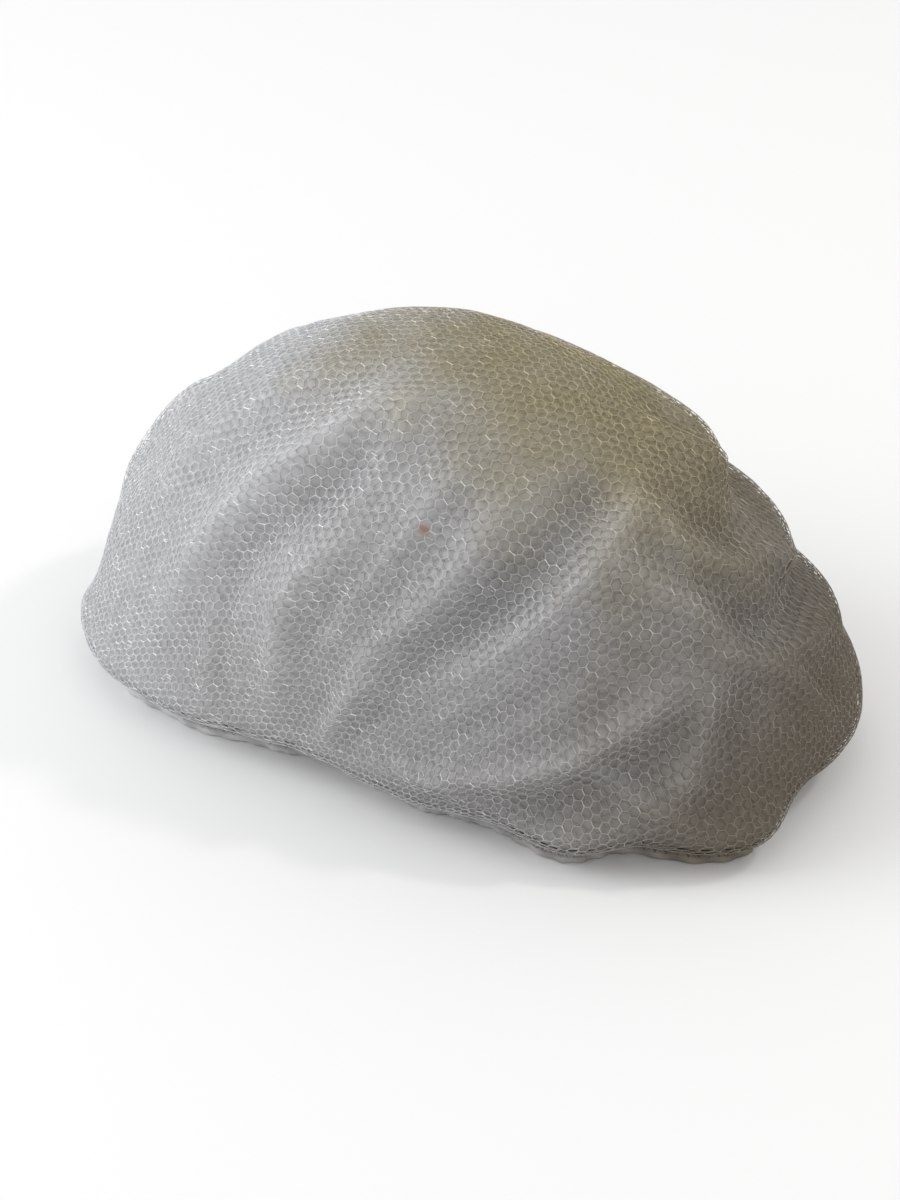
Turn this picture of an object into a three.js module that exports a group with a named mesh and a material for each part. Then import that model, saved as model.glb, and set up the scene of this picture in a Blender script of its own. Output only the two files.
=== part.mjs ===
// A disposable honeycomb-mesh hairnet, puffed up and resting on its elastic mouth.
// Millimetres, +Z up. The origin is on the surface it rests on, under the middle of the puff.
// +X is the long way of the puff and -Y its front.
import * as THREE from 'three';

// The puff, as reaches from the middle of the mouth.
const PUFF = { left: 141.5, right: 140.5, front: 88, back: 88, height: 146 };
const ROUND = 2; // the power of a plain ellipse
const SQUARENESS = 0.8; // added to that power at the foot of the puff, where the net sags square
const SQUARE_BELOW = 0.75; // the sine of the slope where the squareness starts

// The tuck: the foot of the puff turns in under itself to meet the gathered mouth.
const TUCK = { height: 20, depth: 30 };
const MOUTH_HEIGHT = 5.3; // the net's lower edge, just over the hem
const MOUTH_TRIES = 6; // rounds that find the slope of the mouth's edge

// Shallow lobes and hollows of the plan. bearing and spread in degrees, the rest in mm.
const LOBES = [
  { name: 'front_left_flat', bearing: -112, height: 0, spread: 26, rise: 42, amount: -10 },
  { name: 'left_cheek', bearing: -154, height: 4, spread: 24, rise: 24, amount: 6 },
  { name: 'left_nick', bearing: -172, height: 30, spread: 9, rise: 12, amount: -4 },
  { name: 'right_cheek', bearing: 10, height: 34, spread: 22, rise: 24, amount: 5 },
  { name: 'corner_lobe', bearing: -20, height: 4, spread: 9, rise: 16, amount: 12 },
  { name: 'corner_nick', bearing: -7, height: 8, spread: 6, rise: 12, amount: -5 },
  { name: 'foot_nick', bearing: -32, height: 4, spread: 5, rise: 12, amount: -5 },
  { name: 'front_foot', bearing: -44, height: 4, spread: 9, rise: 14, amount: 7 },
  { name: 'front_nick', bearing: -59, height: 4, spread: 7, rise: 14, amount: -4 },
  { name: 'right_knuckle', bearing: 22, height: 116, spread: 20, rise: 8, amount: 5 },
  { name: 'right_notch', bearing: 22, height: 100, spread: 20, rise: 8, amount: -8 },
  { name: 'right_knuckle_2', bearing: 20, height: 86, spread: 18, rise: 7, amount: 4 },
  { name: 'right_notch_2', bearing: 20, height: 73, spread: 18, rise: 7, amount: -6 },
  { name: 'right_knuckle_3', bearing: 16, height: 59, spread: 18, rise: 8, amount: 4 },
  { name: 'top_notch', bearing: 60, height: 133, spread: 40, rise: 5, amount: -6 },
  { name: 'top_notch_2', bearing: 150, height: 126, spread: 24, rise: 6, amount: -5 },
  { name: 'back_hollow', bearing: 118, height: 40, spread: 24, rise: 34, amount: -7 },
  { name: 'back_left_lobe', bearing: 152, height: 62, spread: 22, rise: 26, amount: 5 },
];

// Folds. path runs over the puff as [bearing, slope] in degrees seen from its middle.
// A fold stands up by ridge and sinks by trough beside it. side is where the trough lies,
// 1 to the left of the path as it runs and -1 to the right.
const FOLDS = [
  { name: 'main_crease', ridge: 6, trough: 8, width: 9, side: -1,
    path: [[-12, 62], [-18, 57], [-27, 53], [-40, 48], [-60, 40], [-88, 30]] },
  { name: 'second_crease', ridge: 4, trough: 2, width: 10, side: 1,
    path: [[-40, 68], [-59, 58], [-72, 50], [-88, 38], [-100, 18]] },
  { name: 'puff_edge', ridge: 5, trough: 7, width: 9, side: -1,
    path: [[-92, 15], [-75, 17], [-60, 19], [-44, 22], [-28, 29], [-14, 33]] },
  { name: 'corner_ridge', ridge: 5, trough: 3, width: 8, side: 1,
    path: [[-17, 32], [-24, 21], [-32, 9]] },
  { name: 'right_upper', ridge: 5, trough: 4, width: 8, side: 1,
    path: [[-17, 56], [-12, 46], [2, 37]] },
  { name: 'star_in', ridge: 4, trough: 3, width: 8, side: 1,
    path: [[-28, 50], [-17, 39], [-12, 28]] },
  { name: 'star_out', ridge: 4, trough: 4, width: 8, side: 1,
    path: [[-20, 34], [-7, 28], [12, 26]] },
  { name: 'left_outer', ridge: 6, trough: 5, width: 11, side: 1,
    path: [[-60, 82], [-112, 74], [-129, 60], [-138, 43], [-144, 13]] },
  { name: 'left_inner', ridge: 5, trough: 4, width: 10, side: 1,
    path: [[-88, 62], [-106, 52], [-113, 42], [-112, 28], [-117, 13]] },
  { name: 'back_sweep', ridge: 6, trough: 6, width: 10, side: 1,
    path: [[46, 58], [60, 50], [78, 42], [96, 30], [108, 14]] },
  { name: 'back_right', ridge: 5, trough: 5, width: 9, side: -1,
    path: [[28, 42], [40, 33], [50, 22], [57, 10]] },
  { name: 'back_left', ridge: 5, trough: 5, width: 10, side: 1,
    path: [[150, 70], [142, 54], [146, 36], [154, 18]] },
  { name: 'left_end', ridge: 4, trough: 4, width: 9, side: -1,
    path: [[-172, 52], [-176, 36], [-168, 20]] },
];
const FOLD_STEPS = 24; // straight steps that a fold's curve is measured in
const FOLD_FADE = 0.3; // the share of a fold's length over which each end dies away
const ALONG_SPREAD = 8; // how far apart two stretches of a fold still share a point
const TROUGH_OFFSET = 1.5; // from ridge to trough, in widths
const TROUGH_SPREAD = 0.95; // the trough's own width, in widths

// Small gathers that the elastic draws into the foot of the net.
const GATHER = { count: 24, depth: 1.6, height: 24 };

// The wall and its facets.
const NET_WALL = 1.6;
const COLUMNS = 96;
const ROWS = 19;
const ROW_CROWDING = 1.25; // over 1 packs the rows towards the foot

// The gathered hem: a folded strip with its opening inwards, and the elastic that runs in it.
// out is measured from the net's lower edge, outwards.
const HEM = { height: 5, wall: 1.1, out: 1, inside: -5, ruffle: 0.7 };
const ELASTIC = { thickness: 3.4, height: 2.2, gap: 0.3 };

const NET_WHITE = 0xc9c9c6;
const HEM_WHITE = 0xd6d5d0;
const ELASTIC_WHITE = 0xe2e0da;

const radians = THREE.MathUtils.degToRad;

function direction(bearing, slope) {
  const flat = Math.cos(slope);
  return new THREE.Vector3(Math.cos(bearing) * flat, Math.sin(bearing) * flat, Math.sin(slope));
}

// The smooth puff's reach along a direction: an ellipsoid whose plan squares up low down.
function puffReach(way) {
  const long = way.x > 0 ? PUFF.right : PUFF.left;
  const deep = way.y > 0 ? PUFF.back : PUFF.front;
  const low = THREE.MathUtils.clamp(1 - way.z / SQUARE_BELOW, 0, 1);
  const power = ROUND + SQUARENESS * low * low;
  const plan = Math.abs(way.x / long) ** power + Math.abs(way.y / deep) ** power;
  return 1 / Math.sqrt(plan ** (ROUND / power) + (way.z / PUFF.height) ** 2);
}

function turnBetween(a, b) {
  return THREE.MathUtils.euclideanModulo(a - b + 180, 360) - 180;
}

// The puff with its lobes, hollows and tuck, but no folds.
function puffPoint(bearing, slope) {
  const way = direction(bearing, slope);
  const point = way.multiplyScalar(puffReach(way));
  const degrees = THREE.MathUtils.radToDeg(bearing);
  let flat = Math.hypot(point.x, point.y);
  const first = flat;
  for (const lobe of LOBES) {
    const turn = turnBetween(degrees, lobe.bearing) / lobe.spread;
    const lift = (point.z - lobe.height) / lobe.rise;
    const near = Math.exp(-turn * turn - lift * lift);
    flat += lobe.amount * near * Math.min(1, flat / PUFF.front); // and none on the very top
  }
  const drop = THREE.MathUtils.clamp(1 - point.z / TUCK.height, 0, 1);
  flat -= TUCK.depth * drop * drop;
  const share = first > 0 ? flat / first : 1;
  return new THREE.Vector3(point.x * share, point.y * share, point.z);
}

// Which way the smooth puff faces at a point.
function puffNormal(point) {
  const long = point.x > 0 ? PUFF.right : PUFF.left;
  const deep = point.y > 0 ? PUFF.back : PUFF.front;
  return new THREE.Vector3(
    point.x / long ** 2, point.y / deep ** 2, point.z / PUFF.height ** 2).normalize();
}

// A fold's curve on the puff, with the way to its trough at each step.
function foldTrack(fold) {
  const controls = fold.path.map(([bearing, slope]) => new THREE.Vector3(bearing, slope, 0));
  const curve = new THREE.CatmullRomCurve3(controls, false, 'catmullrom', 0.5);
  const points = curve.getPoints(FOLD_STEPS).map((c) => puffPoint(radians(c.x), radians(c.y)));
  return { ...fold, points };
}

const TRACKS = FOLDS.map(foldTrack);

function smoothStep(t) {
  const x = THREE.MathUtils.clamp(t, 0, 1);
  return x * x * (3 - 2 * x);
}

// The nearest place on a fold's curve: how far along it, how far off, and on which side.
function nearestOnTrack(track, point) {
  let best = { distance: Infinity };
  let shared = 0;
  let total = 0;
  const line = new THREE.Line3();
  const foot = new THREE.Vector3();
  for (let k = 0; k < FOLD_STEPS; k += 1) {
    line.set(track.points[k], track.points[k + 1]);
    const along = line.closestPointToPointParameter(point, true);
    line.at(along, foot);
    const distance = foot.distanceTo(point);
    const weight = Math.exp(-((distance / ALONG_SPREAD) ** 2));
    shared += (weight * (k + along)) / FOLD_STEPS;
    total += weight;
    if (distance < best.distance) {
      const left = puffNormal(foot).cross(line.delta(new THREE.Vector3()));
      const offset = new THREE.Vector3().subVectors(point, foot);
      best = { distance, side: Math.sign(left.dot(offset)) || 1 };
    }
  }
  return { ...best, along: total > 0 ? shared / total : 0 };
}

// How far the folds push the net out at a point of the smooth puff.
function foldHeight(point) {
  let total = 0;
  for (const track of TRACKS) {
    const near = nearestOnTrack(track, point);
    const fade = smoothStep(Math.min(near.along, 1 - near.along) / FOLD_FADE);
    const across = (near.distance * near.side * track.side) / track.width;
    const ridge = track.ridge * Math.exp(-across * across);
    const dip = (across - TROUGH_OFFSET) / TROUGH_SPREAD;
    total += fade * (ridge - track.trough * Math.exp(-dip * dip));
  }
  return total;
}

function gatherHeight(bearing, z) {
  const near = THREE.MathUtils.clamp(1 - z / GATHER.height, 0, 1);
  return GATHER.depth * near * near * Math.cos(GATHER.count * bearing);
}

// The slope at which the puff meets the mouth's height.
function mouthSlope(bearing) {
  let slope = 0;
  for (let k = 0; k < MOUTH_TRIES; k += 1) {
    slope = Math.asin(MOUTH_HEIGHT / puffReach(direction(bearing, slope)));
  }
  return slope;
}

function netPoint(bearing, slope) {
  const point = puffPoint(bearing, slope);
  const height = foldHeight(point);
  const free = smoothStep((point.z - MOUTH_HEIGHT) / TUCK.height); // folds die away at the mouth
  const out = puffNormal(point);
  const flat = new THREE.Vector3(Math.cos(bearing), Math.sin(bearing), 0);
  point.addScaledVector(out, height * free);
  return point.addScaledVector(flat, gatherHeight(bearing, point.z));
}

// The outer surface as rows of points from the mouth up, one row a ring, and the top point.
function netRings() {
  const rings = [];
  for (let row = 0; row < ROWS; row += 1) {
    const ring = [];
    for (let column = 0; column < COLUMNS; column += 1) {
      const bearing = (column / COLUMNS) * 2 * Math.PI;
      const foot = mouthSlope(bearing);
      const slope = foot + (Math.PI / 2 - foot) * (row / ROWS) ** ROW_CROWDING;
      ring.push(netPoint(bearing, slope));
    }
    rings.push(ring);
  }
  return rings;
}

// The outward normal at one point of the rings, from its neighbours.
function ringNormal(rings, row, column) {
  const ring = rings[row];
  const up = rings[Math.min(row + 1, ROWS - 1)][column];
  const down = rings[Math.max(row - 1, 0)][column];
  const next = ring[(column + 1) % COLUMNS];
  const last = ring[(column + COLUMNS - 1) % COLUMNS];
  const across = new THREE.Vector3().subVectors(next, last);
  return across.cross(new THREE.Vector3().subVectors(up, down)).normalize();
}

function innerRings(rings) {
  return rings.map((ring, row) => ring.map((point, column) =>
    point.clone().addScaledVector(ringNormal(rings, row, column), -NET_WALL)));
}

// Collects points and triangles into one closed mesh.
class Shell {
  constructor() {
    this.positions = [];
    this.triangles = [];
  }

  add(point) {
    this.positions.push(point.x, point.y, point.z);
    return this.positions.length / 3 - 1;
  }

  quad(a, b, c, d) {
    this.triangles.push(a, b, c, a, c, d);
  }

  geometry() {
    const made = new THREE.BufferGeometry();
    made.setAttribute('position', new THREE.Float32BufferAttribute(this.positions, 3));
    made.setIndex(this.triangles);
    made.computeVertexNormals();
    return made;
  }
}

function crownNet() {
  const shell = new Shell();
  const outer = netRings();
  const inner = innerRings(outer);
  const outerAt = outer.map((ring) => ring.map((point) => shell.add(point)));
  const innerAt = inner.map((ring) => ring.map((point) => shell.add(point)));
  const top = netPoint(0, Math.PI / 2);
  const outerTop = shell.add(top);
  const innerTop = shell.add(new THREE.Vector3(top.x, top.y, top.z - NET_WALL));
  for (let column = 0; column < COLUMNS; column += 1) {
    const next = (column + 1) % COLUMNS;
    for (let row = 0; row < ROWS - 1; row += 1) {
      const [low, high] = [outerAt[row], outerAt[row + 1]];
      shell.quad(low[column], low[next], high[next], high[column]);
      const [lowIn, highIn] = [innerAt[row], innerAt[row + 1]];
      shell.quad(lowIn[next], lowIn[column], highIn[column], highIn[next]);
    }
    shell.triangles.push(outerAt[ROWS - 1][column], outerAt[ROWS - 1][next], outerTop);
    shell.triangles.push(innerAt[ROWS - 1][next], innerAt[ROWS - 1][column], innerTop);
    shell.quad(innerAt[0][column], innerAt[0][next], outerAt[0][next], outerAt[0][column]);
  }
  return shell.geometry();
}

// A ring that follows the net's lower edge, with a closed section given as [out, height] corners.
function mouthRing(sectionAt) {
  const shell = new Shell();
  const sections = [];
  for (let column = 0; column < COLUMNS; column += 1) {
    const bearing = (column / COLUMNS) * 2 * Math.PI;
    const edge = puffPoint(bearing, mouthSlope(bearing));
    const reach = Math.hypot(edge.x, edge.y);
    sections.push(sectionAt(bearing).map(([out, height]) => shell.add(new THREE.Vector3(
      Math.cos(bearing) * (reach + out), Math.sin(bearing) * (reach + out), height))));
  }
  for (let column = 0; column < COLUMNS; column += 1) {
    const here = sections[column];
    const next = sections[(column + 1) % COLUMNS];
    here.forEach((corner, k) => {
      const turn = (k + 1) % here.length;
      shell.quad(corner, next[k], next[turn], here[turn]);
    });
  }
  return shell.geometry();
}

function hemSection(bearing) {
  const { height, wall, inside } = HEM;
  const out = HEM.out + HEM.ruffle * Math.cos(GATHER.count * bearing);
  return [
    [out, 0], [out, height], [inside, height], [inside, height - wall],
    [out - wall, height - wall], [out - wall, wall], [inside, wall], [inside, 0],
  ];
}

function elasticSection() {
  const outer = HEM.out - HEM.ruffle - HEM.wall - ELASTIC.gap;
  const inner = outer - ELASTIC.thickness;
  const foot = HEM.wall + ELASTIC.gap;
  const head = foot + ELASTIC.height;
  return [[outer, foot], [outer, head], [inner, head], [inner, foot]];
}

function piece(name, geometry, color, roughness) {
  const material = new THREE.MeshStandardMaterial({ color, roughness, metalness: 0 });
  const mesh = new THREE.Mesh(geometry, material);
  mesh.name = name;
  return mesh;
}

const hairnet = new THREE.Group();
hairnet.add(piece('crown_net', crownNet(), NET_WHITE, 0.45));
hairnet.add(piece('gathered_hem', mouthRing(hemSection), HEM_WHITE, 0.7));
hairnet.add(piece('elastic_band', mouthRing(elasticSection), ELASTIC_WHITE, 0.75));

export default hairnet;
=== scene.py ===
"""A disposable honeycomb-mesh hairnet, puffed up and resting mouth down on its gathered elastic hem."""

import math

import bpy
import numpy as np
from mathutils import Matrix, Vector

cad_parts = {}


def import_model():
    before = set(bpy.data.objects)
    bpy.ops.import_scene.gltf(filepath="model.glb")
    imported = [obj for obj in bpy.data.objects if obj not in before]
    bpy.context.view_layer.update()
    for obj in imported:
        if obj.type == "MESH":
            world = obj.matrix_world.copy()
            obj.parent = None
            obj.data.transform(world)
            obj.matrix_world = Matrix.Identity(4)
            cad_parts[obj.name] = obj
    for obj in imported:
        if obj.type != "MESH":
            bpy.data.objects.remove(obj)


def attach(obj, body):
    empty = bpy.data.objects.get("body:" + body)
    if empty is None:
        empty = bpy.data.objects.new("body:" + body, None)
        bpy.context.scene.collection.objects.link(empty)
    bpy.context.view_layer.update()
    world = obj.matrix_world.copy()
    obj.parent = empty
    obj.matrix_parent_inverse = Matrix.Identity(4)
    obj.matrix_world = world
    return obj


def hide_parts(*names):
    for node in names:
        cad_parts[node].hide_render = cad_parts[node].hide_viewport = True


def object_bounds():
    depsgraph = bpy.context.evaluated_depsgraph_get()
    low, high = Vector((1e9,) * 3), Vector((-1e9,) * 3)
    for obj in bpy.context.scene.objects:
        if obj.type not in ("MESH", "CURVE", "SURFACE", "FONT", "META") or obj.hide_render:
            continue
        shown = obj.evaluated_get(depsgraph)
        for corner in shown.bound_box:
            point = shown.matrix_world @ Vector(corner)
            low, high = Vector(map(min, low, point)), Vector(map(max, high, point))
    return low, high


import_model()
CAD_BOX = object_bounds()

# ---------------------------------------------------------------- the puff, in millimetres
# These sizes, LOBES and FOLDS shape crown_net too. CREST, TROUGH_SHARE, CREASES and CRUMPLE are only here,
# so the threads lie close to its wall rather than exactly on it.
MM = 0.001
PUFF = {"left": 141.5, "right": 140.5, "front": 88, "back": 88, "height": 146}
ROUND = 2  # the power of a plain ellipse, to which SQUARENESS is added at the foot
SQUARENESS = 0.8
SQUARE_BELOW = 0.75
TUCK = {"height": 20, "depth": 30}
MOUTH_HEIGHT = 5.3
MOUTH_TRIES = 6

# name, bearing, height, spread, rise, amount
LOBES = (
    ("front_left_flat", -112, 0, 26, 42, -10),
    ("left_cheek", -154, 4, 24, 24, 6),
    ("left_nick", -172, 30, 9, 12, -4),
    ("right_cheek", 10, 34, 22, 24, 5),
    ("corner_lobe", -20, 4, 9, 16, 12),
    ("corner_nick", -7, 8, 6, 12, -5),
    ("foot_nick", -32, 4, 5, 12, -5),
    ("front_foot", -44, 4, 9, 14, 7),
    ("front_nick", -59, 4, 7, 14, -4),
    ("right_knuckle", 22, 116, 20, 8, 5),
    ("right_notch", 22, 100, 20, 8, -8),
    ("right_knuckle_2", 20, 86, 18, 7, 4),
    ("right_notch_2", 20, 73, 18, 7, -6),
    ("right_knuckle_3", 16, 59, 18, 8, 4),
    ("top_notch", 60, 133, 40, 5, -6),
    ("top_notch_2", 150, 126, 24, 6, -5),
    ("back_hollow", 118, 40, 24, 34, -7),
    ("back_left_lobe", 152, 62, 22, 26, 5),
)

# name, ridge, trough, width, side, path of (bearing, slope)
FOLDS = (
    ("main_crease", 6, 8, 9, -1, ((-12, 62), (-18, 57), (-27, 53), (-40, 48), (-60, 40), (-88, 30))),
    ("second_crease", 4, 2, 10, 1, ((-40, 68), (-59, 58), (-72, 50), (-88, 38), (-100, 18))),
    ("puff_edge", 5, 7, 9, -1, ((-92, 15), (-75, 17), (-60, 19), (-44, 22), (-28, 29), (-14, 33))),
    ("corner_ridge", 5, 3, 8, 1, ((-17, 32), (-24, 21), (-32, 9))),
    ("right_upper", 5, 4, 8, 1, ((-17, 56), (-12, 46), (2, 37))),
    ("star_in", 4, 3, 8, 1, ((-28, 50), (-17, 39), (-12, 28))),
    ("star_out", 4, 4, 8, 1, ((-20, 34), (-7, 28), (12, 26))),
    ("left_outer", 6, 5, 11, 1, ((-60, 82), (-112, 74), (-129, 60), (-138, 43), (-144, 13))),
    ("left_inner", 5, 4, 10, 1, ((-88, 62), (-106, 52), (-113, 42), (-112, 28), (-117, 13))),
    ("back_sweep", 6, 6, 10, 1, ((46, 58), (60, 50), (78, 42), (96, 30), (108, 14))),
    ("back_right", 5, 5, 9, -1, ((28, 42), (40, 33), (50, 22), (57, 10))),
    ("back_left", 5, 5, 10, 1, ((150, 70), (142, 54), (146, 36), (154, 18))),
    ("left_end", 4, 4, 9, -1, ((-172, 52), (-176, 36), (-168, 20))),
)
FOLD_STEPS = 24
FOLD_FADE = 0.3
ALONG_SPREAD = 8  # how far apart two stretches of a fold still share a point
TROUGH_OFFSET = 1.5
TROUGH_SHARE = 0.6  # the threads go down this share of the troughs in FOLDS
TROUGH_SPREAD = 0.95
CREST = 2.3  # how sharp a fold's crest is
FOLD_REACH = 5  # a fold is felt this many widths away

# Slight creases between the folds, in the same columns.
CREASES = (
    ("short_front", 2.5, 2, 5, 1, ((-84, 36), (-93, 27), (-101, 14))),
    ("panel_upper", 2, 1, 6, 1, ((-40, 44), (-58, 35), (-76, 27))),
    ("panel_lower", 1.5, 1, 6, 1, ((-34, 36), (-52, 29), (-72, 23))),
    ("foot_hook", 2.5, 2, 4, 1, ((-78, 20), (-69, 15), (-58, 8))),
    ("foot_hook_2", 2, 2, 4, -1, ((-70, 19), (-62, 13), (-52, 7))),
    ("foot_right", 2, 1.5, 5, 1, ((-42, 21), (-34, 15), (-26, 8))),
    ("top_left", 3, 2, 8, 1, ((-150, 80), (-152, 66), (-156, 48), (-158, 30))),
    ("top_fan", 2, 2, 7, -1, ((-95, 84), (-100, 66), (-118, 48), (-128, 26))),
    ("middle_fan", 2, 1.5, 6, 1, ((-60, 72), (-78, 62), (-95, 46), (-106, 22))),
    ("left_foot", 2, 1.5, 5, 1, ((-132, 38), (-130, 24), (-128, 10))),
    ("right_fan", 2, 2, 5, 1, ((-12, 30), (-4, 22), (2, 12))),
    ("right_edge", 2.5, 2, 5, -1, ((-2, 44), (8, 36), (20, 32))),
    ("top_right", 3, 3, 7, 1, ((2, 66), (8, 58), (15, 50))),
)

# Crumpling all over, as sharp low ridges that run every way.
CRUMPLE = {"height": 1.5, "waves": 7, "short": 34, "long": 80, "seed": 5}
GATHER = {"count": 24, "depth": 1.6, "height": 24}


def unit(vectors):
    return vectors / np.linalg.norm(vectors, axis=-1, keepdims=True)


def smooth_step(t):
    t = np.clip(t, 0, 1)
    return t * t * (3 - 2 * t)


def direction(bearing, slope):
    flat = np.cos(slope)
    return np.stack([np.cos(bearing) * flat, np.sin(bearing) * flat, np.sin(slope)], -1)


def plan_reaches(point):
    long = np.where(point[..., 0] > 0, PUFF["right"], PUFF["left"])
    deep = np.where(point[..., 1] > 0, PUFF["back"], PUFF["front"])
    return long, deep


def puff_reach(way):
    """The smooth puff's reach along a direction: an ellipsoid whose plan squares up low down."""
    long, deep = plan_reaches(way)
    low = np.clip(1 - way[..., 2] / SQUARE_BELOW, 0, 1)
    power = ROUND + SQUARENESS * low * low
    plan = np.abs(way[..., 0] / long) ** power + np.abs(way[..., 1] / deep) ** power
    return 1 / np.sqrt(plan ** (ROUND / power) + (way[..., 2] / PUFF["height"]) ** 2)


def puff_point(bearing, slope):
    """The puff with its lobes, hollows and tuck, but no folds."""
    way = direction(bearing, slope)
    point = way * puff_reach(way)[..., None]
    height = point[..., 2]
    first = np.hypot(point[..., 0], point[..., 1])
    flat = first.copy()
    for _, lobe_bearing, lobe_height, spread, rise, amount in LOBES:
        turn = ((np.degrees(bearing) - lobe_bearing + 180) % 360 - 180) / spread
        lift = (height - lobe_height) / rise
        flat += amount * np.exp(-turn * turn - lift * lift) * np.minimum(1, flat / PUFF["front"])
    drop = np.clip(1 - height / TUCK["height"], 0, 1)
    flat -= TUCK["depth"] * drop * drop
    share = flat / np.maximum(first, 1e-9)
    return np.stack([point[..., 0] * share, point[..., 1] * share, height], -1)


def puff_normal(point):
    long, deep = plan_reaches(point)
    scaled = [point[..., 0] / long ** 2, point[..., 1] / deep ** 2, point[..., 2] / PUFF["height"] ** 2]
    return unit(np.stack(scaled, -1))


def catmull_rom(controls, steps):
    """Points along a smooth curve through the controls."""
    controls = np.array(controls, float)
    before = 2 * controls[0] - controls[1]
    after = 2 * controls[-1] - controls[-2]
    padded = np.vstack([before, controls, after])
    spans = len(controls) - 1
    points = []
    for step in range(steps + 1):
        along = step / steps * spans
        span = min(int(along), spans - 1)
        t = along - span
        a, b, c, d = padded[span:span + 4]
        points.append(0.5 * (2 * b + (c - a) * t + (2 * a - 5 * b + 4 * c - d) * t ** 2
                             + (3 * b - a - 3 * c + d) * t ** 3))
    return np.array(points)


def fold_track(path):
    angles = np.radians(catmull_rom(path, FOLD_STEPS))
    return puff_point(angles[:, 0], angles[:, 1])


def nearest_on_track(track, points):
    """For each point, how far along the track its nearest place is, and how far off to its left."""
    best = np.full(len(points), np.inf)
    along = np.zeros(len(points))
    total = np.full(len(points), 1e-99)
    side = np.ones(len(points))
    for step in range(FOLD_STEPS):
        start = track[step]
        run = track[step + 1] - start
        t = np.clip((points - start) @ run / (run @ run), 0, 1)
        foot = start + t[:, None] * run
        offset = points - foot
        squared = (offset ** 2).sum(1)
        nearer = squared < best
        left = np.cross(puff_normal(foot), run)
        here = np.where((left * offset).sum(1) < 0, -1.0, 1.0)
        best = np.where(nearer, squared, best)
        weight = np.exp(-squared / ALONG_SPREAD ** 2)
        along += weight * (step + t) / FOLD_STEPS
        total += weight
        side = np.where(nearer, here, side)
    return along / total, np.sqrt(best) * side


TRACKS = [fold_track(fold[-1]) for fold in FOLDS + CREASES]


def ridge_shape(across):
    """A fold's crest: sharp on top, with hollow flanks."""
    return np.exp(1 - np.sqrt(1 + (CREST * across) ** 2))


def fold_parts(points):
    """How far the folds' ridges and troughs push the net at points of the smooth puff, apart."""
    up = np.zeros(len(points))
    down = np.zeros(len(points))
    for (_, ridge, trough, width, turned, _), track in zip(FOLDS + CREASES, TRACKS):
        room = FOLD_REACH * width
        close = ((points > track.min(0) - room) & (points < track.max(0) + room)).all(1)
        along, off = nearest_on_track(track, points[close])
        fade = smooth_step(np.minimum(along, 1 - along) / FOLD_FADE)
        across = off * turned / width
        dip = (across - TROUGH_OFFSET) / TROUGH_SPREAD
        up[close] += fade * ridge * ridge_shape(across)
        down[close] += fade * trough * TROUGH_SHARE * np.exp(-dip * dip)
    return up, down


def crumple_waves():
    rng = np.random.default_rng(CRUMPLE["seed"])
    ways = unit(rng.normal(0, 1, (CRUMPLE["waves"], 3)))
    lengths = rng.uniform(CRUMPLE["short"], CRUMPLE["long"], CRUMPLE["waves"])
    return ways * (math.pi / lengths)[:, None], rng.uniform(0, math.pi, CRUMPLE["waves"])


CRUMPLE_WAYS, CRUMPLE_STARTS = crumple_waves()


def crumple_height(points):
    waves = 1 - np.abs(np.sin(points @ CRUMPLE_WAYS.T + CRUMPLE_STARTS))
    return CRUMPLE["height"] * (waves ** 2 - 1 / 3).mean(-1) * 2


def mouth_slope(bearing):
    """The slope at which the puff meets the mouth's height."""
    slope = np.zeros_like(bearing)
    for _ in range(MOUTH_TRIES):
        slope = np.arcsin(MOUTH_HEIGHT / puff_reach(direction(bearing, slope)))
    return slope


def net_point(bearing, slope):
    """The net itself, with its folds and the gathers at its foot."""
    point = puff_point(bearing, slope)
    up, down = fold_parts(point)
    free = smooth_step((point[:, 2] - MOUTH_HEIGHT) / TUCK["height"])
    near = np.clip(1 - point[:, 2] / GATHER["height"], 0, 1)
    gather = GATHER["depth"] * near * near * np.cos(GATHER["count"] * bearing)
    flat = np.stack([np.cos(bearing), np.sin(bearing), np.zeros_like(bearing)], -1)
    out = (up - down + crumple_height(point)) * free
    return point + puff_normal(point) * out[:, None] + flat * gather[:, None]


NORMAL_STEP = 0.004
TOP_STARTS, TOP_ENDS = math.radians(84), math.radians(87)  # the smooth puff's normal serves there


def net_frame(bearing, slope):
    """Points on the net and their outward normals."""
    here = net_point(bearing, slope)
    aside = net_point(bearing + NORMAL_STEP, slope) - net_point(bearing - NORMAL_STEP, slope)
    low = np.maximum(slope - NORMAL_STEP, 0)
    high = np.minimum(slope + NORMAL_STEP, math.pi / 2 - NORMAL_STEP)
    upward = net_point(bearing, high) - net_point(bearing, low)
    top = smooth_step((slope - TOP_STARTS) / (TOP_ENDS - TOP_STARTS))[:, None]
    return here, unit(unit(np.cross(aside, upward)) * (1 - top) + puff_normal(here) * top)


# ---------------------------------------------------------------- the honeycomb lattice
PITCH = 3.8  # from the middle of one cell to the next
CELL_SIDE = PITCH / math.sqrt(3)
WARP = 1.1  # how far the handling of the net has pulled its rows about
WARP_WAVES = 5
WARP_LENGTHS = (40, 110)
WARP_STARTS = 6.28  # radians
JITTER = 0.14
ROOM = 0.8  # rows of cells are closer together than PITCH, so more of them are needed
PILLAR, THREAD = 0, 1
PILLAR_SIDES = 3  # corners round each of a pillar's two crossed strands


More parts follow.
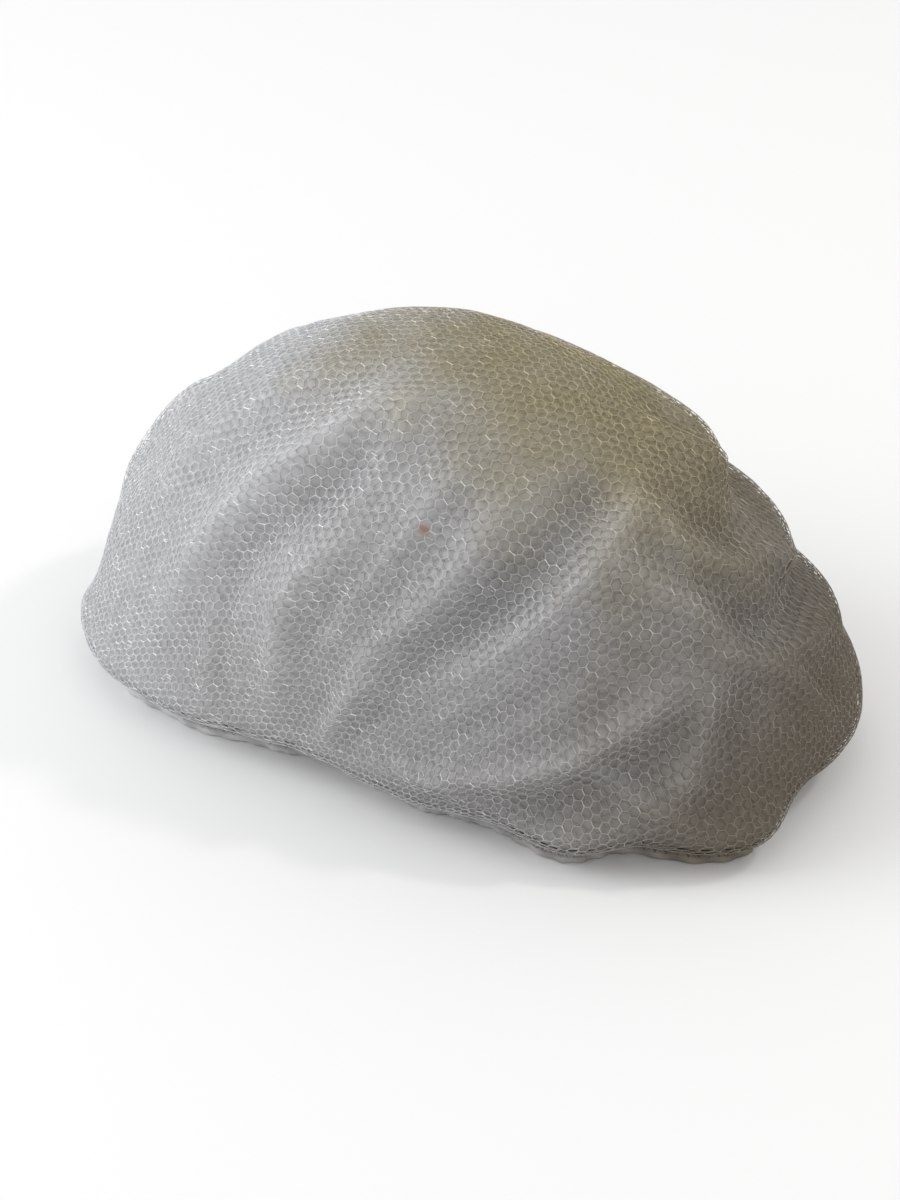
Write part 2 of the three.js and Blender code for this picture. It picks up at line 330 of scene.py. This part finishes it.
def honeycomb(reach, turn, seed):
    """Nodes and edges of a flat honeycomb, with its rows turned and slightly pulled about."""
    rng = np.random.default_rng(seed)
    count = int(reach / (PITCH * ROOM)) + 2
    i, j = np.meshgrid(np.arange(-count, count + 1), np.arange(-count, count + 1), indexing="ij")
    size = 2 * count + 1
    base = np.stack([(i + j * 0.5) * PITCH, j * PITCH * math.sqrt(3) / 2], -1).reshape(-1, 2)
    nodes = np.concatenate([base, base + [0, CELL_SIDE]])
    number = np.arange(size * size).reshape(size, size)
    lower = size * size
    pillars = np.stack([number.ravel(), number.ravel() + lower], -1)
    down_left = np.stack([number[:, 1:].ravel(), number[:, :-1].ravel() + lower], -1)
    down_right = np.stack([number[:-1, 1:].ravel(), number[1:, :-1].ravel() + lower], -1)
    edges = np.concatenate([pillars, down_left, down_right])
    kinds = np.full(len(edges), THREAD)
    kinds[:len(pillars)] = PILLAR
    nodes += rng.normal(0, JITTER, nodes.shape)
    for _ in range(WARP_WAVES):
        wave = rng.normal(0, 1, 2)
        wave *= 2 * math.pi / rng.uniform(*WARP_LENGTHS) / np.linalg.norm(wave)
        push = rng.normal(0, WARP / 2, 2)
        nodes += np.sin(nodes @ wave + rng.uniform(0, WARP_STARTS))[:, None] * push
    cos, sin = math.cos(turn), math.sin(turn)
    nodes = nodes @ np.array([[cos, sin], [-sin, cos]])
    return nodes, edges, kinds


RAYS = 240
RAY_STEPS = 400
LONGEST_SWING = 150  # degrees from the pole


class Chart:
    """Lays a flat sheet over the puff from a pole, true to length along every ray from it."""

    def __init__(self, bearing, slope):
        bearing, slope = math.radians(bearing), math.radians(slope)
        self.pole = direction(bearing, slope)
        self.right = np.array([-math.sin(bearing), math.cos(bearing), 0.0])
        self.up = np.cross(self.pole, self.right)
        rays = np.arange(RAYS + 1) / RAYS * 2 * math.pi
        self.swings = np.arange(RAY_STEPS + 1) / RAY_STEPS * math.radians(LONGEST_SWING)
        ways = self.way(rays[:, None], self.swings[None, :])
        points = puff_point(*self.angles(ways))
        steps = np.linalg.norm(np.diff(points, axis=1), axis=-1)
        self.lengths = np.concatenate([np.zeros((RAYS + 1, 1)), np.cumsum(steps, 1)], 1)

    def way(self, ray, swing):
        aside = np.cos(ray)[..., None] * self.right + np.sin(ray)[..., None] * self.up
        return np.cos(swing)[..., None] * self.pole + np.sin(swing)[..., None] * aside

    @staticmethod
    def angles(way):
        slope = np.arcsin(np.clip(way[..., 2], 0, 1))
        return np.arctan2(way[..., 1], way[..., 0]), slope

    def place(self, nodes):
        """The direction in which each flat node ends up."""
        ray = np.arctan2(nodes[:, 1], nodes[:, 0]) % (2 * math.pi)
        length = np.hypot(nodes[:, 0], nodes[:, 1])
        index = ray / (2 * math.pi) * RAYS
        swing = np.zeros(len(nodes))
        for k in range(RAYS):
            mine = (index >= k) & (index < k + 1)
            share = index[mine] - k
            near = np.interp(length[mine], self.lengths[k], self.swings)
            far = np.interp(length[mine], self.lengths[k + 1], self.swings)
            swing[mine] = near * (1 - share) + far * share
        return self.way(ray, swing)


# The sheet is laid in two halves that meet over the top, behind the highest fold.
FRONT_WAY = np.array([0.385, -0.723, 0.574])  # the way that the front half faces
HALF_REACHES = np.array([141, 88, 146])
HALF_PLANE = FRONT_WAY / HALF_REACHES ** 2
FRONT = {"chart": (-36, 52), "side": 1, "lap": 0.012}
BACK = {"chart": (140, 30), "side": -1, "lap": 0.012}  # lap: how far it runs on past the seam
SEAM_SHIFT = -0.16
LATTICE_REACH = 260


def half_share(points):
    """Over 0 on the front half of the puff and under 0 on its back half, about 1 at the most."""
    share = points @ HALF_PLANE
    return share / np.linalg.norm(HALF_PLANE * HALF_REACHES) - SEAM_SHIFT


def mesh_object(name, vertices, faces, smooth=True):
    mesh = bpy.data.meshes.new(name)
    count, sides = faces.shape
    mesh.vertices.add(len(vertices))
    mesh.vertices.foreach_set("co", np.ascontiguousarray(vertices, np.float32).ravel())
    mesh.loops.add(faces.size)
    mesh.loops.foreach_set("vertex_index", np.ascontiguousarray(faces, np.int32).ravel())
    mesh.polygons.add(count)
    mesh.polygons.foreach_set("loop_start", np.arange(count, dtype=np.int32) * sides)
    mesh.polygons.foreach_set("loop_total", np.full(count, sides, np.int32))
    mesh.update(calc_edges=True)
    mesh.validate()
    if smooth:
        mesh.polygons.foreach_set("use_smooth", np.ones(len(mesh.polygons), bool))
    piece = bpy.data.objects.new(name, mesh)
    bpy.context.collection.objects.link(piece)
    return piece


def tubes(starts, ends, normals, radius, sides, extend=0.1):
    """Straight tubes from starts to ends, in millimetres, with sides corners round each."""
    run = unit(ends - starts)
    starts = starts - run * extend
    ends = ends + run * extend
    across = unit(np.cross(run, normals))
    out = np.cross(across, run)
    turns = np.arange(sides) / sides * 2 * math.pi
    ring = (np.cos(turns)[None, :, None] * out[:, None, :]
            + np.sin(turns)[None, :, None] * across[:, None, :])
    ring = ring * np.broadcast_to(radius, (len(starts),))[:, None, None]
    vertices = np.concatenate([starts[:, None] + ring, ends[:, None] + ring], 1).reshape(-1, 3)
    corner = np.arange(sides)
    following = (corner + 1) % sides
    quad = np.stack([corner, following, following + sides, corner + sides], -1)
    faces = (np.arange(len(starts)) * 2 * sides)[:, None, None] + quad[None]
    return vertices, faces.reshape(-1, 4)


def join(parts):
    """One list of vertices and faces from several."""
    vertices, faces, offset = [], [], 0
    for part_vertices, part_faces in parts:
        vertices.append(part_vertices)
        faces.append(part_faces + offset)
        offset += len(part_vertices)
    return np.concatenate(vertices), np.concatenate(faces)


GLINT_RARITY = 7  # the higher, the fewer pillars are painted lighter, as if they caught the light
# How much lighter the painted glints make the lightest pillars.
PAINTED_GLINT_GAIN = 0.9
BELOW_MOUTH = 0.03  # how far under the mouth, as a sine, a node may still be pulled up to it
SHORTEST = 0.2
PILLAR_SPREAD = 0.75  # how far apart a pillar's strands start, in thread radii
SHINE_SEED = 100


def point_values(piece, name, values):
    """Keeps a number for each of a piece's points, for its material to read."""
    made = piece.data.attributes.new(name, "FLOAT", "POINT")
    made.data.foreach_set("value", values.astype(np.float32))


def lattice_edges(half, turn, depth, seed):
    """The ends, outward ways and kinds of the edges of one half of a net layer."""
    chart = Chart(*half["chart"])
    nodes, edges, kinds = honeycomb(LATTICE_REACH, turn, seed)
    close = np.hypot(nodes[:, 0], nodes[:, 1]) < LATTICE_REACH
    way = chart.place(nodes)
    bearing, slope = Chart.angles(way)
    foot = mouth_slope(bearing)
    below = way[:, 2] < np.sin(foot) - BELOW_MOUTH
    mine = half_share(puff_point(bearing, slope)) * half["side"] > -half["lap"]
    kept = (close & ~below & mine)[edges].all(1)
    slope = np.maximum(slope, foot)
    edges, kinds = edges[kept], kinds[kept]
    used = np.unique(edges)
    places = np.zeros((len(nodes), 3))
    normals = np.zeros((len(nodes), 3))
    places[used], normals[used] = net_frame(bearing[used], slope[used])
    places -= normals * depth
    starts, ends = places[edges[:, 0]], places[edges[:, 1]]
    out = unit(normals[edges[:, 0]] + normals[edges[:, 1]])
    long_enough = np.linalg.norm(ends - starts, axis=1) > SHORTEST
    return starts[long_enough], ends[long_enough], out[long_enough], kinds[long_enough]


def netting(name, half, turn, depth, thread, sides, seed):
    """One half of a net layer, made of its threads, lying depth under the net's surface."""
    starts, ends, out, kinds = lattice_edges(half, math.radians(turn), depth, seed)
    pillar = kinds == PILLAR
    aside = unit(np.cross(ends - starts, out)) * thread * PILLAR_SPREAD
    parts = [tubes(starts[~pillar], ends[~pillar], out[~pillar], thread, sides)]
    for turned in (1, -1):
        parts.append(tubes((starts + aside * turned)[pillar], (ends - aside * turned)[pillar],
                           out[pillar], thread, PILLAR_SIDES))
    vertices, faces = join(parts)
    piece = mesh_object(name, vertices * MM, faces)
    # Painted glints: pillars drawn at random are painted lighter, most only a little.
    painted_glint = np.random.default_rng(seed + SHINE_SEED).random(pillar.sum()) ** GLINT_RARITY
    plain = np.zeros((~pillar).sum() * 2 * sides)
    point_values(piece, "painted_glint", np.concatenate([plain] + [np.repeat(painted_glint, 2 * PILLAR_SIDES)] * 2))
    return piece


# ---------------------------------------------------------------- materials
def material(name):
    made = bpy.data.materials.new(name)
    made.use_nodes = True
    return made, made.node_tree, made.node_tree.nodes["Principled BSDF"]


def node(tree, kind, **settings):
    made = tree.nodes.new(kind)
    for name, value in settings.items():
        setattr(made, name, value)
    return made


def math_node(tree, operation, first, second, clamp=False):
    made = node(tree, "ShaderNodeMath", operation=operation, use_clamp=clamp)
    for socket, value in zip(made.inputs, (first, second)):
        if isinstance(value, (int, float)):
            socket.default_value = value
        else:
            tree.links.new(value, socket)
    return made.outputs[0]


def mix_colours(tree, share, first, second, blend="MIX"):
    made = node(tree, "ShaderNodeMix", data_type="RGBA", blend_type=blend)
    for socket, value in ((made.inputs[0], share), (made.inputs[6], first), (made.inputs[7], second)):
        if isinstance(value, (int, float)):
            socket.default_value = value
        elif isinstance(value, tuple):
            socket.default_value = (*value, 1)
        else:
            tree.links.new(value, socket)
    return made.outputs[2]


# Painted light and shade, where the net's colour changes: a way across the object, in metres, and the ends
# of the change. The net's white is painted lighter on the left, grey and shade are painted shade towards
# the right, and the warm top is painted warm light.
PAINTED_LIGHT_TINTS = (
    # name, way, from, to, colour
    ("grey", (0.80, -0.10, -0.30), -0.125, 0.030, (0.455, 0.447, 0.448)),
    ("painted_warm_light_top", (0.35, 0.20, 0.90), 0.085, 0.150, (0.370, 0.320, 0.190)),
    ("shade", (0.80, 0.20, -0.25), 0.005, 0.100, (0.192, 0.164, 0.126)),
)
# The net's white, painted lighter and cooler as light from the left.
WHITE_WITH_PAINTED_LIGHT = (0.66, 0.665, 0.675)
STAIN_PLACE, STAIN_SIZE = (0.0147, -0.0589, 0.1073), 0.0028
STAIN_COLOUR = (0.42, 0.19, 0.05)
TINT_WANDER = 0.035  # metres that a change of painted light or shade wanders to either side


def noise_at(tree, place, scale, detail):
    made = node(tree, "ShaderNodeTexNoise")
    made.inputs["Scale"].default_value = scale
    made.inputs["Detail"].default_value = detail
    tree.links.new(place, made.inputs["Vector"])
    return made.outputs["Fac"]


def gain_and_lift(tree, value, gain, lift):
    made = math_node(tree, "MULTIPLY_ADD", value, gain)
    if isinstance(lift, (int, float)):
        made.node.inputs[2].default_value = lift
    else:
        tree.links.new(lift, made.node.inputs[2])
    return made


def paint(tree, shader, colour, strength):
    """Gives the shader a colour times a strength."""
    grey = node(tree, "ShaderNodeCombineColor")
    for socket in grey.inputs[:3]:
        tree.links.new(strength, socket)
    tree.links.new(mix_colours(tree, 1.0, colour, grey.outputs[0], "MULTIPLY"), shader.inputs["Base Color"])


def add_bump(tree, shader, height, strength, distance):
    bump = node(tree, "ShaderNodeBump")
    bump.inputs["Strength"].default_value = strength
    bump.inputs["Distance"].default_value = distance
    tree.links.new(height, bump.inputs["Height"])
    tree.links.new(bump.outputs["Normal"], shader.inputs["Normal"])


def net_colour_and_painted_light(tree):
    """Painted light and shade by place: painted cool light on the left, painted warm light in olive over
    the top, painted shade in brown-grey at the right, and a small real stain.
    """
    place = node(tree, "ShaderNodeTexCoord").outputs["Object"]
    wander = gain_and_lift(tree, noise_at(tree, place, 22, 3), 2 * TINT_WANDER, -TINT_WANDER)
    colour = WHITE_WITH_PAINTED_LIGHT
    for _, way, start, end, painted_tint in PAINTED_LIGHT_TINTS:
        along = node(tree, "ShaderNodeVectorMath", operation="DOT_PRODUCT")
        tree.links.new(place, along.inputs[0])
        along.inputs[1].default_value = way
        moved = math_node(tree, "ADD", along.outputs["Value"], wander)
        share = node(tree, "ShaderNodeMapRange", interpolation_type="SMOOTHSTEP")
        tree.links.new(moved, share.inputs["Value"])
        share.inputs["From Min"].default_value = start
        share.inputs["From Max"].default_value = end
        # Each tint lays painted light or shade over the net's white.
        colour = mix_colours(tree, share.outputs["Result"], colour, painted_tint)
    far = node(tree, "ShaderNodeVectorMath", operation="DISTANCE")
    tree.links.new(place, far.inputs[0])
    far.inputs[1].default_value = STAIN_PLACE
    stain = math_node(tree, "DIVIDE", far.outputs["Value"], STAIN_SIZE)
    stain = math_node(tree, "SUBTRACT", 1.0, stain, clamp=True)
    return mix_colours(tree, stain, colour, STAIN_COLOUR), place


WAVE_BANDS = 20  # how many bands the wave texture lays in a unit at a scale of one
RIB_SHADE = (0.74, 0.74, 0.73)


def thread_material(name, gain, lift, roughness):
    """Nylon thread: the net's colour there with its painted light and shade, made lighter and uneven from
    thread to thread, with painted glints on some pillars.
    """
    made, tree, shader = material(name)
    colour, place = net_colour_and_painted_light(tree)
    strength = gain_and_lift(tree, noise_at(tree, place, 260, 1), gain, lift)
    # Painted glints on some pillars make the thread lighter.
    painted_glint = node(tree, "ShaderNodeAttribute", attribute_name="painted_glint").outputs["Fac"]
    strength = math_node(tree, "ADD", strength, math_node(tree, "MULTIPLY", painted_glint, PAINTED_GLINT_GAIN))
    paint(tree, shader, colour, strength)
    shader.inputs["Roughness"].default_value = roughness
    return made


FOLD_LIGHT_GAIN = 0.14


def haze_material():
    """The layers behind the outer net, with painted light on the folds' ridges and painted shade in their
    troughs.
    """
    made, tree, shader = material("net_depth")
    colour, place = net_colour_and_painted_light(tree)
    fold = node(tree, "ShaderNodeAttribute", attribute_name="fold_light").outputs["Fac"]
    noise = noise_at(tree, place, 420, 2)
    speckle = gain_and_lift(tree, noise, 0.3, 0.75)
    # Painted light on the fold ridges and painted shade in the troughs, with a random speckle.
    paint(tree, shader, colour, gain_and_lift(tree, fold, FOLD_LIGHT_GAIN, speckle))
    add_bump(tree, shader, noise, 0.3, 0.0006)
    shader.inputs["Roughness"].default_value = 0.8
    return made


def ribbed_material(name, ribs, colour=None):
    """Hem or elastic with fine slanting ribs, this many to the metre. The hem takes the net's colour with
    its painted light and shade.
    """
    made, tree, shader = material(name)
    net, place = net_colour_and_painted_light(tree)
    wave = node(tree, "ShaderNodeTexWave", wave_type="BANDS", bands_direction="DIAGONAL")
    wave.inputs["Scale"].default_value = ribs / WAVE_BANDS
    wave.inputs["Distortion"].default_value = 1.5
    tree.links.new(place, wave.inputs["Vector"])
    shade = mix_colours(tree, wave.outputs["Fac"], RIB_SHADE, (1.0, 1.0, 1.0))
    ribbed = mix_colours(tree, 1.0, colour or net, shade, "MULTIPLY")
    tree.links.new(ribbed, shader.inputs["Base Color"])
    add_bump(tree, shader, wave.outputs["Fac"], 0.5, 0.0004)
    shader.inputs["Roughness"].default_value = 0.7
    return made


# ---------------------------------------------------------------- pieces
HAZE_COLUMNS, HAZE_ROWS = 420, 120
HAZE_ROW_POWER = 1.2  # over 1, so that the rows lie closer together near the mouth
RIDGE_FULL, TROUGH_FULL = 5, 4  # millimetres of ridge or trough that count as one whole fold, for the painted light and shade
MOST_RIDGE = 1.2
TOP_HOLE = 0.0008  # radians left open at the very top, under a fifth of a millimetre


def haze_shell(name, depth):
    """The many layers of net behind the outer one, too close together to tell apart, as one thin skin. It
    is opaque, so it also stands in for the shade inside the bag that would show through the net.
    """
    columns = np.arange(HAZE_COLUMNS) / HAZE_COLUMNS * 2 * math.pi
    rows = (np.arange(HAZE_ROWS) / (HAZE_ROWS - 1)) ** HAZE_ROW_POWER
    bearing = np.broadcast_to(columns[None, :], (HAZE_ROWS, HAZE_COLUMNS)).ravel().copy()
    foot = mouth_slope(bearing)
    slope = foot + (math.pi / 2 - TOP_HOLE - foot) * np.repeat(rows, HAZE_COLUMNS)
    points, normals = net_frame(bearing, slope)
    points = points - normals * depth
    up, down = fold_parts(puff_point(bearing, slope))
    number = np.arange(HAZE_ROWS * HAZE_COLUMNS).reshape(HAZE_ROWS, HAZE_COLUMNS)
    following = np.roll(number, -1, 1)
    quads = np.stack([number[:-1], following[:-1], following[1:], number[1:]], -1).reshape(-1, 4)
    piece = mesh_object(name, points * MM, quads)
    # Painted light on the ridges and painted shade in the troughs, kept as fold_light for the material.
    ridges = np.clip(up / RIDGE_FULL, 0, MOST_RIDGE)
    troughs = np.clip(down / TROUGH_FULL, 0, 1)
    point_values(piece, "fold_light", ridges - troughs)
    return piece


# ---------------------------------------------------------------- the hem and its stitches
HEM_MIDDLE = 2.5
HEM_OUT, HEM_IN = 0.0, -4.8  # from the net's lower edge, outwards
HEM_COLUMNS = 720
HEM_OPENS = 150  # degrees from its outer side, above and below, where the hem opens inwards
HEM = {"half_height": 2.4, "section": 15, "ruffle": 0.6}
ELASTIC = {"half_height": 1.1, "section": 13, "outer_gap": 0.9, "inner_gap": 0.6}
RUFFLES = 96
RUFFLE_WANDER = {"amount": 1.3, "waves": 7}
STITCHES = 300
STITCH_RADIUS = 0.22
STITCH_FOOT = {"out": 0.2, "height": 3.6}
STITCH_HEAD = {"out": 0.8, "above_mouth": 1.2}


def mouth_edge(bearing):
    """The net's lower edge and the level way out of it."""
    edge = net_point(bearing, mouth_slope(bearing))
    ahead = net_point(bearing + NORMAL_STEP, mouth_slope(bearing + NORMAL_STEP))
    behind = net_point(bearing - NORMAL_STEP, mouth_slope(bearing - NORMAL_STEP))
    run = unit((ahead - behind) * [1, 1, 0])
    return edge, np.stack([run[:, 1], -run[:, 0], np.zeros(len(run))], -1)


def mouth_strip(name, outer, inner, half_height, section, turns, ruffle_depth):
    """A strip round the mouth with a rounded section, which spans turns, in degrees from its outer side."""
    bearing = np.arange(HEM_COLUMNS) / HEM_COLUMNS * 2 * math.pi
    edge, out = mouth_edge(bearing)
    wander = RUFFLE_WANDER["amount"] * np.sin(RUFFLE_WANDER["waves"] * bearing)
    ruffle = ruffle_depth * np.sin(RUFFLES * bearing + wander)
    rings = []
    for turn in np.radians(np.linspace(*turns, section)):
        reach = (outer + inner) / 2 + (outer - inner) / 2 * math.cos(turn)
        ring = edge * [1, 1, 0] + out * (reach + ruffle * max(math.cos(turn), 0))[:, None]
        ring[:, 2] = HEM_MIDDLE + half_height * math.sin(turn)
        rings.append(ring)
    number = np.arange(section * HEM_COLUMNS).reshape(section, HEM_COLUMNS)
    following = np.roll(number, -1, 1)
    quads = np.stack([number[:-1], following[:-1], following[1:], number[1:]], -1).reshape(-1, 4)
    if turns[1] - turns[0] == 360:
        quads = quads % (HEM_COLUMNS * (section - 1))
        rings = rings[:-1]
    return mesh_object(name, np.concatenate(rings) * MM, quads)


def overlock_stitches():
    """The zigzag of thread that sews the hem to the net."""
    bearing = np.arange(2 * STITCHES + 1) / (2 * STITCHES) * 2 * math.pi
    edge, out = mouth_edge(bearing)
    odd = np.arange(len(bearing)) % 2
    points = edge + out * np.where(odd, HEM_OUT + STITCH_FOOT["out"], STITCH_HEAD["out"])[:, None]
    points[:, 2] = np.where(odd, STITCH_FOOT["height"], MOUTH_HEIGHT + STITCH_HEAD["above_mouth"])
    vertices, faces = tubes(points[:-1], points[1:], out[:-1], STITCH_RADIUS, 4)
    return mesh_object("hem_stitches", vertices * MM, faces)


THREAD_RADIUS = 0.155
INNER_RADIUS = 0.18
INNER_DEPTH = 0.8
HAZE_DEPTH = 1.6

# name, half, turn in degrees, depth, thread radius, sides, seed
NET_LAYERS = (
    ("net_front", FRONT, 20, 0.0, THREAD_RADIUS, 4, 11),
    ("net_back", BACK, -12, 0.5, THREAD_RADIUS, 4, 12),
    ("net_front_inner", FRONT, 31, INNER_DEPTH, INNER_RADIUS, 3, 13),
    ("net_back_inner", BACK, 4, INNER_DEPTH + 0.4, INNER_RADIUS, 3, 14),
)

nylon = thread_material("nylon_thread", 0.9, 0.66, 0.3)
# The inner threads have a smaller gain, so they are painted darker, as painted shade under the outer net.
inner_nylon_in_painted_shade = thread_material("inner_thread_in_painted_shade", 0.5, 0.66, 0.5)
depth_skin = haze_material()
hem_cloth = ribbed_material("hem_netting", 900)
elastic_cloth = ribbed_material("elastic_ribs", 500, (0.66, 0.65, 0.62))

front, back, inner_front, inner_back = [netting(*layer) for layer in NET_LAYERS]
haze = haze_shell("net_underlayers", HAZE_DEPTH)
hem = mouth_strip("hem_channel", HEM_OUT, HEM_IN, HEM["half_height"], HEM["section"],
                  (-HEM_OPENS, HEM_OPENS), HEM["ruffle"])
elastic = mouth_strip("elastic_ring", HEM_OUT - ELASTIC["outer_gap"], HEM_IN + ELASTIC["inner_gap"],
                      ELASTIC["half_height"], ELASTIC["section"], (0, 360), 0)
stitches = overlock_stitches()
for net in (front, back):
    net.data.materials.append(nylon)
for net in (inner_front, inner_back):
    net.data.materials.append(inner_nylon_in_painted_shade)
haze.data.materials.append(depth_skin)
hem.data.materials.append(hem_cloth)
elastic.data.materials.append(elastic_cloth)
stitches.data.materials.append(hem_cloth)
for piece in (front, back, inner_front, inner_back, haze, hem, stitches, elastic):
    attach(piece, "root")
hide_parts("crown_net")
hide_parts("gathered_hem")
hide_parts("elastic_band")

# ---------------------------------------------------------------- stage, light and camera
VIEW_BEARING, VIEW_SLOPE = 28, 35
VIEW_DISTANCE = 1.3
LONG_SIDE_SEEN = 0.4152  # what the picture's height spans at the object
AIM_RIGHT, AIM_UP = -0.006, -0.028
SENSOR = 36
WORLD_STRENGTH = 0.82
LIGHT_TARGET = (0, 0, 0.06)
LIGHTS = (
    # name, place, size, power, colour
    ("key", (-1.1, -0.6, 0.9), 0.9, 9, (0.95, 0.975, 1)),
    ("glint", (0.7, 0.5, 1.1), 0.12, 2.5, (1, 0.97, 0.92)),
)
FLOOR_REACH = 6


def floor():
    size = FLOOR_REACH
    corners = np.array([[-size, -size, 0], [size, -size, 0], [size, size, 0], [-size, size, 0]], float)
    made = mesh_object("floor", corners, np.array([[0, 1, 2, 3]]), smooth=False)
    pale, _, shader = material("pale_floor")
    shader.inputs["Base Color"].default_value = (0.9, 0.9, 0.895, 1)
    shader.inputs["Roughness"].default_value = 0.9
    made.data.materials.append(pale)


def aim(thing, place, target):
    thing.location = place
    turn = (target - place).to_track_quat("-Z", "Y")
    thing.rotation_mode = "QUATERNION"
    thing.rotation_quaternion = turn


def camera():
    low, high = CAD_BOX
    middle = (low + high) / 2
    a, e = math.radians(VIEW_BEARING), math.radians(VIEW_SLOPE)
    back_way = Vector((math.sin(a) * math.cos(e), -math.cos(a) * math.cos(e), math.sin(e)))
    right = Vector((math.cos(a), math.sin(a), 0))
    up = back_way.cross(right)
    target = middle + right * AIM_RIGHT + up * AIM_UP
    data = bpy.data.cameras.new("camera")
    data.sensor_width = SENSOR
    data.lens = SENSOR * VIEW_DISTANCE / LONG_SIDE_SEEN
    made = bpy.data.objects.new("camera", data)
    bpy.context.collection.objects.link(made)
    aim(made, target + back_way * VIEW_DISTANCE, target)
    bpy.context.scene.camera = made


def area_light(name, place, size, power, colour):
    data = bpy.data.lights.new(name, "AREA")
    data.size = size
    data.energy = power
    data.color = colour
    made = bpy.data.objects.new(name, data)
    bpy.context.collection.objects.link(made)
    aim(made, Vector(place), Vector(LIGHT_TARGET))


def world(strength):
    made = bpy.data.worlds.new("studio")
    made.use_nodes = True
    made.node_tree.nodes["Background"].inputs["Color"].default_value = (1, 1, 1, 1)
    made.node_tree.nodes["Background"].inputs["Strength"].default_value = strength
    bpy.context.scene.world = made


floor()
camera()
world(WORLD_STRENGTH)
for light in LIGHTS:
    area_light(*light)
bpy.context.scene.view_settings.view_transform = "Standard"
